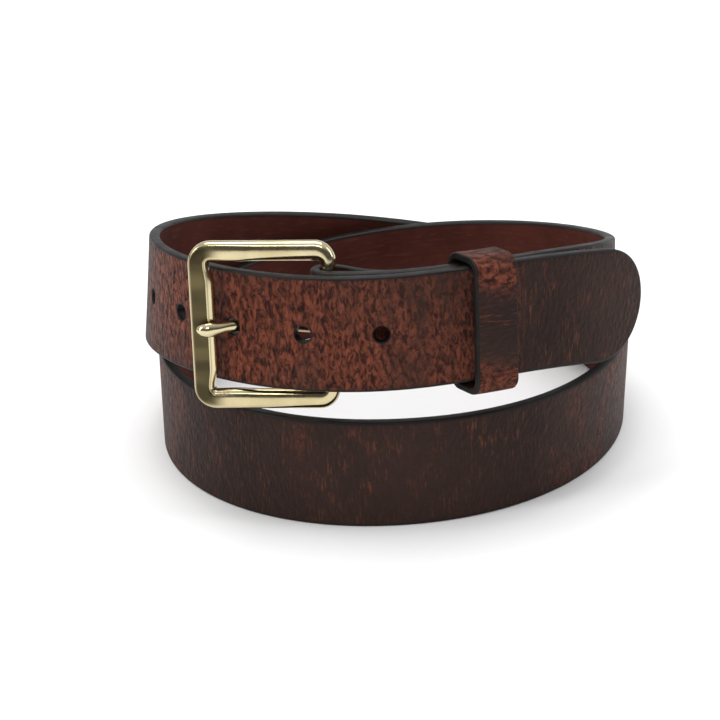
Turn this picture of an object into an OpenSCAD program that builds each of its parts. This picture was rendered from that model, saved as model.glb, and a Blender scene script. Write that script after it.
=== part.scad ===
// Leather belt, buckled and coiled in two turns, resting on its lower edge.
// Origin: middle of the part's box, on the surface it rests on. +Z up, -Y towards the buckle side.

/* [Strap] */
// width of the strap
strap_w = 38; // [30:0.5:45]
// thickness of the strap
strap_t = 3.6; // [3:0.1:5]
// overall width of the coil from left to right
coil_w = 172; // [155:1:215]
// gap between two layers that lie on each other
ply_gap = 1.5; // [1.2:0.1:2]
// thickness of the folded-back flap after skiving
flap_t = 2.6; // [1.6:0.1:3.2]
// how much the flap's end is trimmed along its upper edge
flap_trim = 3; // [0:0.5:6]
// gap between the flap and the main layer
flap_gap = 0.4; // [0.2:0.1:1]
// chamfer along the strap's edges
edge_chamfer = 0.7; // [0.3:0.1:1.2]

/* [Punched holes] */
// radius of a punched hole
hole_r = 2.65; // [2:0.05:3.5]
// distance from hole to hole
hole_pitch = 25.4; // [20:0.1:30]

/* [Buckle] */
// clear height inside the buckle beyond the strap's width
buckle_play = 5.2; // [3:0.5:9]
// width of the frame's bars
bar_w = 6.6; // [5:0.1:8]
// how much wider the front bar is than the other bars
front_extra = 1.4; // [0:0.1:2.5]
// thickness of the frame's bars
bar_t = 4.5; // [3.5:0.1:5.5]
// radius of the pivot bar
pivot_r = 2.5; // [2:0.1:3.2]
// gap between the pivot bar and the fold
pivot_gap = 0.25; // [0.1:0.05:0.6]
// gap between the frame's front bar and the free end
front_gap = 0.45; // [0.2:0.05:1]

/* [Prong] */
// radial running gap between the prong's eye and the pivot bar
prong_fit = 0.08; // [0.02:0.01:0.1]
// wall of the prong's eye
prong_eye_t = 1.8; // [1.2:0.1:2.6]
// height of the prong's eye along the bar
prong_eye_h = 7; // [5:0.5:9]

/* [Keeper] */
// width of the keeper along the strap
keeper_w = 14; // [10:0.5:20]
// thickness of the keeper's leather
keeper_t = 2.4; // [1.8:0.1:3]
// thickness of its back wall, skived where its ends meet
keeper_back_t = 1.8; // [1.4:0.1:2.4]
// gap on each side of the back wall
keeper_gap = 0.45; // [0.4:0.05:1]
// gap between the keeper's front wall and the free end
keeper_slack = 2.2; // [1:0.1:4]
// slant of the keeper's ends, because the free end drags its front wall along
keeper_skew = 11; // [0:1:20]
// gap above and below the strap inside the keeper
keeper_play = 1.5; // [0.6:0.1:2]

/* [Screw posts] */
// radius of the heads
head_r = 4.8; // [4:0.1:5.5]
// height of the heads
head_t = 0.9; // [0.7:0.1:1.1]
// radius of the post's barrel
barrel_r = 2.4; // [2:0.1:2.8]

/* [Hidden] */

$fn = 64;
LEATHER = [0.27, 0.17, 0.13];
BRASS = [0.80, 0.68, 0.42];
STEEL = [0.62, 0.62, 0.60];

// ---- route of the coil: control values every ROUTE_STEP degrees round the coil.
// 0 degrees is the front; angles grow to the right, over the back, and round again.
ROUTE_STEP = 45;
ROUTE_START = -90;
// where the middle of the box lies, seen from the point the angles are measured about
OFF_CENTRE_X = -1.5;
OFF_CENTRE_Y = 10.8;
SECOND_TURN = 11;
coil_k = coil_w / 172;
rise_k = strap_w / 38;
ply = strap_t + ply_gap;
ROUTE_R = [78.5, 71, 66.5, 68.5, 76, 82, 84.5, 84, 80.5, 74.5, 67.5,
           65, 73, 85.5, 90.5, 87.5, 78.5, 71, 66.5, 68.5, 92, 137];
ROUTE_Z = [48, 48.5, 50, 50, 29, 13, 4, 0, 0, 0, 0,
           0, 0, 0, 5, 21, 41, 49, 50.5, 52, 28, -11];
ROUTE_LEAN = [-3, -6, -7, -5, 0, 2, 2, 0, -1, -1, 0,
              6, 4, -3, -7, -8, -7, -6, -7, -5, -2, 1];
rs = [for (k = [0:len(ROUTE_R) - 1]) ROUTE_R[k] * coil_k + (k < SECOND_TURN ? 0 : ply)];
zs = [for (z = ROUTE_Z) z * rise_k];

// angles of the fittings round the coil
pivot_a = -18.4;
prong_hole_a = 677.8;
front_bar_a = 671.8;
keeper_a = 23.5;
flap_end_a = 46;
post_angles = [9, 41.5];
tip_a = 786.5;

// smooth route value from four neighbouring control values
function blend4(c, k, f) = (c[k - 1] * pow(1 - f, 3) + c[k] * (3 * pow(f, 3) - 6 * f * f + 4)
    + c[k + 1] * (-3 * pow(f, 3) + 3 * f * f + 3 * f + 1) + c[k + 2] * pow(f, 3)) / 6;
function route(c, a) = let (u = (a - ROUTE_START) / ROUTE_STEP, k = floor(u)) blend4(c, k, u - k);
function foot(a) = let (r = route(rs, a))
    [r * sin(a) - coil_k * OFF_CENTRE_X, -r * cos(a) - coil_k * OFF_CENTRE_Y, route(zs, a)];
function unit(v) = v / norm(v);
function along(a) = unit(foot(a + 0.5) - foot(a - 0.5));
function level_out(a) = let (t = along(a)) unit([t.y, -t.x, 0]);
function tall(a) = let (o = level_out(a), l = route(ROUTE_LEAN, a))
    cos(l) * cross(o, along(a)) + sin(l) * o;
function outward(a) = cross(along(a), tall(a));
function middle(a) = foot(a) + tall(a) * strap_w / 2;
function pace(a) = norm(foot(a + 0.5) - foot(a - 0.5));

// where the strap rests on the surface its thickness stays level, so its lower edge is flat
LIFTED = 10;
function thick_dir(a) = let (k = min(1, route(zs, a) / LIFTED))
    unit(level_out(a) * (1 - k) + outward(a) * k);

// ---- frames: columns are the local x, y and z directions and the origin
function frame4(x, y, z, p) = [[x.x, y.x, z.x, p.x], [x.y, y.y, z.y, p.y],
                               [x.z, y.z, z.z, p.z], [0, 0, 0, 1]];
module on_strap(a) multmatrix(frame4(along(a), tall(a), outward(a), middle(a))) children();

// pivot bar: behind the main layer, parallel to the strap's width
pivot_t = along(pivot_a);
pivot_y = tall(pivot_a);
pivot_n = outward(pivot_a);
fold_r = pivot_r + pivot_gap;
pivot_c = middle(pivot_a) - pivot_n * (strap_t / 2 + fold_r);
module at_pivot() multmatrix(frame4(-pivot_t, -pivot_y, pivot_n, pivot_c)) children();

// front bar: outside the free end
bar_seat = strap_t / 2 + front_gap + bar_t / 2;
// the free end bends away under the bar, so the bar's inner edge dips towards it
bar_chord = unit(middle(front_bar_a) + outward(front_bar_a) * bar_seat - pivot_c);
bar_dip = (bar_w / 2 + front_extra) * sqrt(1 - pow(bar_chord * along(front_bar_a), 2));
front_c = middle(front_bar_a) + outward(front_bar_a) * (bar_seat + bar_dip) - pivot_c;
front_x = -(front_c * pivot_t);
front_z = front_c * pivot_n;
bar_d = norm([front_x, front_z]);
frame_tilt = atan2(front_z, front_x);
module on_frame() at_pivot() rotate([0, -frame_tilt, 0]) children();

// ---- shared shapes
// solid from a list of rings of points; every ring has the same number of points
module loft(rings) {
    m = len(rings[0]);
    n = len(rings);
    pts = [for (r = rings) each r];
    sides = [for (i = [0:n - 2], j = [0:m - 1]) let (
        p = i * m + j,
        q = i * m + (j + 1) % m) each [[p, q, q + m], [p, q + m, p + m]]];
    start_cap = [[for (j = [m - 1:-1:0]) j]];
    end_cap = [[for (j = [0:m - 1]) (n - 1) * m + j]];
    polyhedron(points = pts, faces = concat(sides, start_cap, end_cap));
}

// chamfered cross-section: p is its lower edge's middle, d the thickness direction,
// u the width direction, h half the thickness, lo and hi the ends across the width
function section(p, d, u, h, lo, hi) = let (c = min(edge_chamfer, h / 2, (hi - lo) / 4)) [
    p + d * (h - c) + u * lo,
    p - d * (h - c) + u * lo,
    p - d * h + u * (lo + c),
    p - d * h + u * (hi - c),
    p - d * (h - c) + u * hi,
    p + d * (h - c) + u * hi,
    p + d * h + u * (hi - c),
    p + d * h + u * (lo + c)];

module rounded(w, h, r) {
    square([w - 2 * r, h], center = true);
    square([w, h - 2 * r], center = true);
    for (x = [-1, 1], y = [-1, 1]) translate([x * (w / 2 - r), y * (h / 2 - r)]) circle(r);
}

// ---- strap
SECTION_STEP = 4.5;
FLAP_SETTLE = 16;
FOLD_STEP = 15;
BULGE_RAMP = 6;
BULGE_FLAT = 3 + BULGE_RAMP;
fold_offset = 2 * fold_r + strap_t / 2 + flap_t / 2;
flap_offset = flap_gap + strap_t / 2 + flap_t / 2;
bulge = keeper_back_t + 2 * keeper_gap - flap_gap;
function ease(x) = let (c = max(0, min(1, x))) c * c * (3 - 2 * c);
function keeper_mm(a) = abs(a - keeper_a) * pace(keeper_a);
// how far the flap's middle lies inside the main layer's middle: wide at the fold,
// close after it, and wider again where the keeper's back wall passes between them
function flap_in(a) = flap_offset
    + (fold_offset - flap_offset) * (1 - ease((a - pivot_a) / FLAP_SETTLE))
    + bulge * ease((keeper_w / 2 + BULGE_FLAT - keeper_mm(a)) / BULGE_RAMP);

FLAP_STEPS = 32;
flap_rings = [for (i = [FLAP_STEPS:-1:1]) let (a = pivot_a + (flap_end_a - pivot_a) * i / FLAP_STEPS)
    section(foot(a) - outward(a) * flap_in(a), -outward(a), tall(a), flap_t / 2, 0,
        strap_w - flap_trim * i / FLAP_STEPS)];
pivot_foot = pivot_c - pivot_y * strap_w / 2;
fold_rings = [for (b = [270:-FOLD_STEP:90 + FOLD_STEP]) let (
    d = cos(b) * pivot_t + sin(b) * pivot_n,
    h = (flap_t + (strap_t - flap_t) * (270 - b) / 180) / 2)
    section(pivot_foot + d * (fold_r + h), d, pivot_y, h, 0, strap_w)];
tip_r = strap_w / 2;
tip_start_a = tip_a - tip_r / pace(tip_a - 6);
main_n = round((tip_start_a - pivot_a) / SECTION_STEP);
main_rings = [for (i = [0:main_n]) let (a = pivot_a + (tip_start_a - pivot_a) * i / main_n)
    section(foot(a), thick_dir(a), tall(a), strap_t / 2, 0, strap_w)];
TIP_STEP = 8;
tip_rings = [for (b = [TIP_STEP:TIP_STEP:88]) let (
    a = tip_start_a + (tip_a - tip_start_a) * sin(b),
    half = tip_r * cos(b))
    section(foot(a), thick_dir(a), tall(a), strap_t / 2, tip_r - half, tip_r + half)];

// angles of the punched holes; number 0 is the one in use
HOLE_NUMBERS = [-2, -1, 0, 1, 2];
function hole_a(k) = let (mid_pace = pace(prong_hole_a + k * 10)) prong_hole_a + k * hole_pitch / mid_pace;

SLOT_W = 9;
SLOT_REACH = 8;
slot_top = fold_r + strap_t + 0.4;
slot_low = -(fold_r + flap_t + 2);

module prong_slot() {
    cut_h = slot_top - slot_low;
    translate([-SLOT_REACH + SLOT_W / 2, 0, slot_low]) {
        cylinder(r = SLOT_W / 2, h = cut_h);
        translate([0, -SLOT_W / 2, 0]) cube([2 * SLOT_W, SLOT_W, cut_h]);
    }
}

module strap() {
    color(LEATHER) difference() {
        loft(concat(flap_rings, fold_rings, main_rings, tip_rings));
        at_pivot() prong_slot();
        for (k = HOLE_NUMBERS) on_strap(hole_a(k))
            cylinder(r = hole_r, h = strap_t + 1, center = true);
        at_pivot() for (swing = [0, prong_swing]) rotate([0, -swing, 0])
            translate([PRONG_X[HOLE_AT], prong_y, PRONG_Z[HOLE_AT]])
                rotate([0, 90 - PASSAGE_RISE, 0])
                    cylinder(r = PRONG_HALF_T + PASSAGE_GAP, h = PASSAGE_L, center = true);
        for (a = post_angles) on_strap(a) post_pockets();
    }
}

// ---- buckle frame
side_y = strap_w / 2 + buckle_play / 2 + bar_w / 2;
CORNER_R = 3.2;
bar_half_w = bar_w / 2;
bar_half_t = bar_t / 2;
FACE_FLAT = 0.6;
SIDE_FLAT = 0.3;
BACK_FLAT = 0.8;
BACK_SIDE = 0.7;
// section of a bar; its inner side reaches further in by extra
module bar_profile(extra = 0) {
    polygon([[-bar_half_w * BACK_FLAT - extra, -bar_half_t], [bar_half_w * BACK_FLAT, -bar_half_t],
             [bar_half_w, -bar_half_t * BACK_SIDE], [bar_half_w, bar_half_t * SIDE_FLAT],
             [bar_half_w * FACE_FLAT, bar_half_t], [-bar_half_w * FACE_FLAT - extra, bar_half_t],
             [-bar_half_w - extra, bar_half_t * SIDE_FLAT],
             [-bar_half_w - extra, -bar_half_t * BACK_SIDE]]);
}
corner_mid = bar_half_w + CORNER_R - 2.4;
module frame_corner() rotate_extrude(angle = 90) translate([corner_mid, 0]) bar_profile();

module buckle_frame() {
    straight_x = bar_d - corner_mid;
    straight_y = side_y - corner_mid;
    color(BRASS) on_frame() {
        rotate([90, 0, 0]) cylinder(r = pivot_r, h = 2 * side_y - bar_w / 2, center = true);
        for (s = [-1, 1]) {
            translate([0, s * side_y, 0]) rotate([90, 0, 90])
                linear_extrude(height = straight_x) bar_profile();
            translate([0, s * side_y, -bar_half_t]) cylinder(r = bar_half_w, h = bar_t * 0.85);
        }
        translate([straight_x, straight_y, 0]) frame_corner();
        translate([straight_x, -straight_y, 0]) rotate([0, 0, -90]) frame_corner();
        translate([bar_d, straight_y, 0]) rotate([90, 0, 0])
            linear_extrude(height = 2 * straight_y) bar_profile(front_extra);
    }
}

// ---- prong: rings along its length; x is the distance from the pivot bar
PRONG_X = [3.2, 9, 16, 22.5, 27, 31, 34.6, 37.4, 39.8, 42.1];
PRONG_Z = [0, 0, 0.1, 0.4, 1.4, 3.9, 7.2, 9.45, 9.85, 9.6];
PRONG_W = [2.9, 2.3, 2, 1.85, 1.8, 1.8, 1.9, 2.4, 2.1, 0.8];
PRONG_HALF_T = 1.45;
HOLE_AT = 5;
PASSAGE_RISE = 37;
PASSAGE_GAP = 0.75;
PASSAGE_L = 14;
prong_swing = 2.5;
RING_SIDES = 12;
// the prong slides along the pivot bar until it meets the middle of its hole
PRONG_SLIDE = 0.8;
hole_drop = (pivot_c - middle(prong_hole_a)) * pivot_y;
prong_y = max(-PRONG_SLIDE, min(PRONG_SLIDE, hole_drop));
prong_rings = [for (i = [0:len(PRONG_X) - 1]) let (t = i < len(PRONG_X) - 1 ? PRONG_HALF_T : 0.7)
    [for (j = [0:RING_SIDES - 1]) let (b = 360 * j / RING_SIDES)
        [PRONG_X[i], PRONG_W[i] * sin(b), PRONG_Z[i] + t * cos(b)]]];

module prong() {
    eye_r = pivot_r + prong_fit;
    color(BRASS) at_pivot() translate([0, prong_y, 0]) difference() {
        union() {
            loft(prong_rings);
            rotate([90, 0, 0]) cylinder(r = eye_r + prong_eye_t, h = prong_eye_h, center = true);
        }
        rotate([90, 0, 0]) cylinder(r = eye_r, h = 2 * prong_eye_h, center = true);
    }
}

// ---- keeper: follows the coil's own bend, so it slides along the strap
BEND_SPAN = 8;
keeper_turn = acos(along(keeper_a - BEND_SPAN) * along(keeper_a + BEND_SPAN));
bend_r = norm(foot(keeper_a + BEND_SPAN) - foot(keeper_a - BEND_SPAN)) / (2 * sin(keeper_turn / 2));
bend_c = middle(keeper_a) - outward(keeper_a) * bend_r;

keeper_in_h = strap_w + 2 * keeper_play;
KEEPER_IN_R = 2.6;
keeper_in_x0 = bend_r - strap_t / 2 - keeper_gap;
keeper_in_x1 = bend_r + ply + strap_t / 2 + keeper_slack;
keeper_in_mid = (keeper_in_x0 + keeper_in_x1) / 2;
keeper_out_x0 = keeper_in_x0 - keeper_back_t;
keeper_out_x1 = keeper_in_x1 + keeper_t;
keeper_out_mid = (keeper_out_x0 + keeper_out_x1) / 2;
KEEPER_OUT_R = 5;
KEEPER_SWEEP = 24;
SEAM = 0.4;
back_wall = keeper_in_x0 - keeper_back_t / 2;
module on_keeper() multmatrix(frame4(outward(keeper_a), along(keeper_a), tall(keeper_a), bend_c))
    children();

module keeper() {
    color(LEATHER) on_keeper() difference() {
        intersection() {
            rotate([0, 0, -KEEPER_SWEEP / 2]) rotate_extrude(angle = KEEPER_SWEEP) difference() {
                translate([keeper_out_mid, 0]) rounded(keeper_out_x1 - keeper_out_x0,
                    keeper_in_h + 2 * keeper_t, KEEPER_OUT_R);
                translate([keeper_in_mid, 0]) rounded(keeper_in_x1 - keeper_in_x0,
                    keeper_in_h, KEEPER_IN_R);
            }
            translate([keeper_out_mid, 0, 0]) rotate([0, 0, keeper_skew])
                cube([3 * keeper_w, keeper_w, 2 * keeper_in_h], center = true);
        }
        translate([back_wall, 0, 0]) cube([keeper_back_t + 0.2, 3 * keeper_w, SEAM], center = true);
        translate([0, seam_y, 0]) staple_shape(STAPLE_FIT);
    }
}

// ---- staple that closes the keeper's seam, sunk into the back wall
seam_y = -tan(keeper_skew) * (keeper_out_mid - back_wall);
STAPLE_H = 9;
STAPLE_WIDE = 1.2;
STAPLE_WIRE = 0.5;
STAPLE_FIT = 0.05;
CLINCH = 3;
module staple_shape(g) {
    depth = keeper_back_t - 0.1;
    wide = STAPLE_WIDE + 2 * g;
    wire = STAPLE_WIRE + 2 * g;
    reach = STAPLE_H / 2 - STAPLE_WIRE / 2;
    translate([back_wall - depth / 2 + STAPLE_WIRE / 2, 0, 0])
        cube([wire, wide, STAPLE_H + 2 * g], center = true);
    for (s = [-1, 1]) {
        translate([back_wall, 0, s * reach]) cube([depth + 2 * g, wide, wire], center = true);
        translate([back_wall + depth / 2 - STAPLE_WIRE / 2, 0, s * (STAPLE_H - CLINCH) / 2])
            cube([wire, wide, CLINCH + 2 * g], center = true);
    }
}
module keeper_staple() color(STEEL) on_keeper() translate([0, seam_y, 0]) staple_shape(0);

// ---- screw posts; heights are measured from the middle of the main layer, outward positive
SEAT = 0.4;
TOUCH = 0.05;
HEAD_CHAMFER = 0.3;
THREAD_R = 1.5;
BLIND = 0.8;
SLOT_CUT = 0.9;
SLOT_DEEP = 0.45;
post_seat = strap_t / 2 - SEAT;
screw_seat = -flap_offset - flap_t / 2 + SEAT;

module disc(z0, z1, r) translate([0, 0, z0]) cylinder(r = r, h = z1 - z0);

module post_pockets() {
    disc(screw_seat - 2, post_seat + 2, barrel_r + TOUCH);
    disc(post_seat, post_seat + 2, head_r + 0.1);
    disc(screw_seat - 2, screw_seat, head_r + 0.1);
}

module barrel_posts() color(BRASS) for (a = post_angles) on_strap(a) difference() {
    union() {
        disc(post_seat + TOUCH, post_seat + TOUCH + head_t - HEAD_CHAMFER, head_r);
        translate([0, 0, post_seat + TOUCH + head_t - HEAD_CHAMFER])
            cylinder(r1 = head_r, r2 = head_r - HEAD_CHAMFER, h = HEAD_CHAMFER);
        disc(screw_seat + 2 * TOUCH, post_seat + 2 * TOUCH, barrel_r);
    }
    disc(screw_seat - 1, post_seat - BLIND + head_t, THREAD_R);
}

module post_screws() color(BRASS) for (a = post_angles) on_strap(a) difference() {
    union() {
        disc(screw_seat - TOUCH - head_t + HEAD_CHAMFER, screw_seat - TOUCH, head_r);
        translate([0, 0, screw_seat - TOUCH - head_t])
            cylinder(r1 = head_r - HEAD_CHAMFER, r2 = head_r, h = HEAD_CHAMFER);
        disc(screw_seat - TOUCH - head_t / 2, post_seat - BLIND, THREAD_R - TOUCH);
    }
    translate([0, 0, screw_seat - TOUCH - head_t])
        cube([3 * head_r, SLOT_CUT, 2 * SLOT_DEEP], center = true);
}

strap();
buckle_frame();
prong();
keeper();
keeper_staple();
barrel_posts();
post_screws();
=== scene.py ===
"""Leather belt, buckled and coiled twice: dressed leather, brass buckle and soft studio light."""

import math

import bmesh
import bpy
from mathutils import Matrix, Vector


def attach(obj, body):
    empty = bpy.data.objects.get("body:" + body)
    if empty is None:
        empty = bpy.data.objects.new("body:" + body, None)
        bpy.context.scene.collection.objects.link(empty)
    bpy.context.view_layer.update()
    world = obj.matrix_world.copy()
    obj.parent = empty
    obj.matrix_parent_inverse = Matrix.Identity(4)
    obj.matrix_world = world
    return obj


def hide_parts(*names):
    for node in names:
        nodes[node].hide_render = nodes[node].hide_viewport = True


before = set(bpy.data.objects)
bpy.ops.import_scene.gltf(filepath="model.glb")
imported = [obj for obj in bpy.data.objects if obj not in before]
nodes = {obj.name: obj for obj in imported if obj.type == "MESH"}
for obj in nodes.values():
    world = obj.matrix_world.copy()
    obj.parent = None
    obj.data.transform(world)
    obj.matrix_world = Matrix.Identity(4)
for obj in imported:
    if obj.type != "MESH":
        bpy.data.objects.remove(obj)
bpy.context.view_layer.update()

MM = 0.001


def mm(*numbers):
    """A point or direction given in millimetres."""
    return Vector(numbers) * MM


# ---------------------------------------------------------------- camera, light and floor

AIM = mm(-10.0, -10.8, 27.8)
LOOK_DOWN = math.radians(24.76)
CAMERA_AWAY = 0.85
CAMERA_ROLL = math.radians(-2.56)
CAMERA_LENS = 121.55
SENSOR_W = 36.0
NEAREST_SEEN = 0.02

# the studio's own glow: dim low in front, bright above and behind
BEHIND_LIFT = 0.55
GLOW_TOP_AT = 0.55
GLOW_DIM = (0.13, 0.13, 0.13, 1.0)
GLOW_BRIGHT = (0.95, 0.95, 0.96, 1.0)
GLOW_STRENGTH = 0.75
FLOOR_REACH = 4.0


def place_camera():
    data = bpy.data.cameras.new("studio_camera")
    data.lens = CAMERA_LENS
    data.sensor_width = SENSOR_W
    data.clip_start = NEAREST_SEEN
    camera = bpy.data.objects.new("studio_camera", data)
    back = Vector((0.0, -math.cos(LOOK_DOWN), math.sin(LOOK_DOWN)))
    tilt = Matrix.Rotation(math.pi / 2 - LOOK_DOWN, 4, "X")
    roll = Matrix.Rotation(CAMERA_ROLL, 4, "Z")
    camera.matrix_world = Matrix.Translation(AIM + back * CAMERA_AWAY) @ tilt @ roll
    bpy.context.collection.objects.link(camera)
    bpy.context.scene.camera = camera


def softbox(name, at, width, height, power, tint=(1.0, 1.0, 1.0)):
    """A rectangular soft light that faces the belt."""
    data = bpy.data.lights.new(name, "AREA")
    data.shape = "RECTANGLE"
    data.size = width
    data.size_y = height
    data.energy = power
    data.color = tint
    light = bpy.data.objects.new(name, data)
    spot = Vector(at)
    light.location = spot
    light.rotation_euler = (AIM - spot).to_track_quat("-Z", "Y").to_euler()
    bpy.context.collection.objects.link(light)


def light_the_studio():
    softbox("soft_overhead", (0.0, 0.2, 1.25), 1.0, 0.8, 11.2)
    softbox("soft_left", (-1.15, -0.45, 0.6), 0.3, 0.8, 6.0, (1.0, 0.98, 0.95))
    softbox("soft_right", (1.15, -0.2, 0.6), 0.35, 0.8, 3.0, (0.97, 0.98, 1.0))
    softbox("soft_front", (-0.1, -1.2, 1.0), 0.7, 0.25, 3.0)
    world = bpy.data.worlds.new("pale_studio")
    world.use_nodes = True
    tree = world.node_tree
    way = tree.nodes.new("ShaderNodeTexCoord").outputs["Generated"]
    parts = tree.nodes.new("ShaderNodeSeparateXYZ")
    tree.links.new(way, parts.inputs[0])
    lift = tree.nodes.new("ShaderNodeMath")
    lift.operation = "MULTIPLY_ADD"
    tree.links.new(parts.outputs["Y"], lift.inputs[0])
    lift.inputs[1].default_value = BEHIND_LIFT
    tree.links.new(parts.outputs["Z"], lift.inputs[2])
    ramp = tree.nodes.new("ShaderNodeValToRGB")
    tree.links.new(lift.outputs[0], ramp.inputs["Fac"])
    ramp.color_ramp.elements[0].color = GLOW_DIM
    ramp.color_ramp.elements[1].position = GLOW_TOP_AT
    ramp.color_ramp.elements[1].color = GLOW_BRIGHT
    glow = tree.nodes["Background"]
    tree.links.new(ramp.outputs["Color"], glow.inputs["Color"])
    glow.inputs["Strength"].default_value = GLOW_STRENGTH
    bpy.context.scene.world = world
    bpy.context.scene.view_settings.view_transform = "Standard"


def lay_floor():
    bm = bmesh.new()
    bmesh.ops.create_grid(bm, x_segments=4, y_segments=4, size=FLOOR_REACH)
    floor = finish_piece(bm, "studio_floor", [paper_white()])


# ---------------------------------------------------------------- materials


class Recipe:
    """Builds one material's nodes; a value is a number, a colour or another node's socket."""

    def __init__(self, name):
        self.material = bpy.data.materials.new(name)
        self.material.use_nodes = True
        self.tree = self.material.node_tree
        self.shader = self.tree.nodes["Principled BSDF"]

    def put(self, socket, value):
        if isinstance(value, bpy.types.NodeSocket):
            self.tree.links.new(value, socket)
        elif isinstance(value, tuple) and socket.type == "RGBA":
            socket.default_value = (*value, 1.0)
        else:
            socket.default_value = value

    def node(self, kind, inputs, **settings):
        made = self.tree.nodes.new(kind)
        for key, value in settings.items():
            setattr(made, key, value)
        for key, value in inputs.items():
            self.put(made.inputs[key], value)
        return made

    def lie(self, *scale):
        """The piece's own lie in metres, along, across and unused, stretched by scale."""
        where = self.node("ShaderNodeUVMap", {}, uv_map="lie").outputs["UV"]
        return self.node("ShaderNodeMapping", {"Vector": where, "Scale": scale}).outputs["Vector"]

    def room(self, *scale):
        """The object's own place in metres, stretched by scale."""
        where = self.node("ShaderNodeTexCoord", {}).outputs["Object"]
        return self.node("ShaderNodeMapping", {"Vector": where, "Scale": scale}).outputs["Vector"]

    def noise(self, where, scale, detail=2.0, rough=0.5, twist=0.0):
        made = self.node("ShaderNodeTexNoise", {
            "Vector": where, "Scale": scale, "Detail": detail, "Roughness": rough, "Distortion": twist})
        return made.outputs["Fac"]

    def cells(self, where, scale):
        made = self.node("ShaderNodeTexVoronoi", {"Vector": where, "Scale": scale},
                         feature="SMOOTH_F1")
        return made.outputs["Distance"]

    def sum(self, kind, a, b=0.0, c=0.0):
        made = self.node("ShaderNodeMath", {0: a, 1: b, 2: c}, operation=kind)
        return made.outputs[0]

    def span(self, value, low, high, to_low=0.0, to_high=1.0):
        """Maps low..high onto to_low..to_high, smoothly and clamped."""
        made = self.node("ShaderNodeMapRange", {
            "Value": value, "From Min": low, "From Max": high, "To Min": to_low, "To Max": to_high},
            interpolation_type="SMOOTHSTEP")
        return made.outputs["Result"]

    def blend(self, amount, a, b):
        made = self.node("ShaderNodeMix", {"Factor": amount, 6: a, 7: b}, data_type="RGBA")
        return made.outputs[2]

    def worn(self):
        return self.node("ShaderNodeAttribute", {}, attribute_name="worn").outputs["Fac"]

    def relief(self, *layers):
        """Stacks bumps, given as (height, depth in metres) pairs, and gives them to the shader."""
        normal = None
        for height, depth in layers:
            bump = self.node("ShaderNodeBump", {"Height": height, "Strength": 1.0, "Distance": depth})
            if normal is not None:
                self.put(bump.inputs["Normal"], normal)
            normal = bump.outputs["Normal"]
        self.put(self.shader.inputs["Normal"], normal)

    def finish(self, **values):
        for key, value in values.items():
            self.put(self.shader.inputs[key.replace("_", " ")], value)
        return self.material


def shade(text):
    """A colour from its six-digit display code, as linear light."""
    parts = [int(text[k:k + 2], 16) / 255 for k in (0, 2, 4)]
    return tuple(p / 12.92 if p < 0.04045 else ((p + 0.055) / 1.055) ** 2.4 for p in parts)


PAPER_LOW, PAPER_HIGH = (0.90, 0.90, 0.90), (0.93, 0.93, 0.93)


def paper_white():
    r = Recipe("paper_white")
    mottle = r.noise(r.room(1, 1, 1), 3.0, 2.0)
    colour = r.blend(mottle, PAPER_LOW, PAPER_HIGH)
    return r.finish(Base_Color=colour, Roughness=0.85)


# the grain side's colours, and how its pebbles lean, flatten and wander
WAX_BLACK, WAX_BROWN = shade("281a17"), shade("3a2822")
PULLED_DEEP, PULLED_RED = shade("331510"), shade("824531")
FLECK_RED, PIT_BLACK, EDGE_BLACK = shade("74412c"), shade("1c0d0b"), shade("1c1615")
GRAIN_LEAN = (0.0, 0.0, 0.24)
GRAIN_SQUASH = (1.0, 0.5, 1.0)
GRAIN_WANDER = (0.0011, 0.0011, 0.0)
PEBBLES, FURROWS, PORES = 880.0, 640.0, 1900.0
GRAIN_DEPTH, PORE_DEPTH, SWELL_DEPTH = 0.0016, 0.0002, 0.0005
# how far from the strap's middle its darkened edge begins and is complete
GRAIN_EDGE, FLESH_EDGE, EDGE_DONE = 0.0172, 0.0174, 0.0186


def dark_edge(r, flat, begins):
    """How much a place belongs to the darkened edges of the strap."""
    across = r.node("ShaderNodeSeparateXYZ", {"Vector": flat}).outputs["Y"]
    return r.span(r.sum("ABSOLUTE", across), begins, EDGE_DONE)


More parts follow.
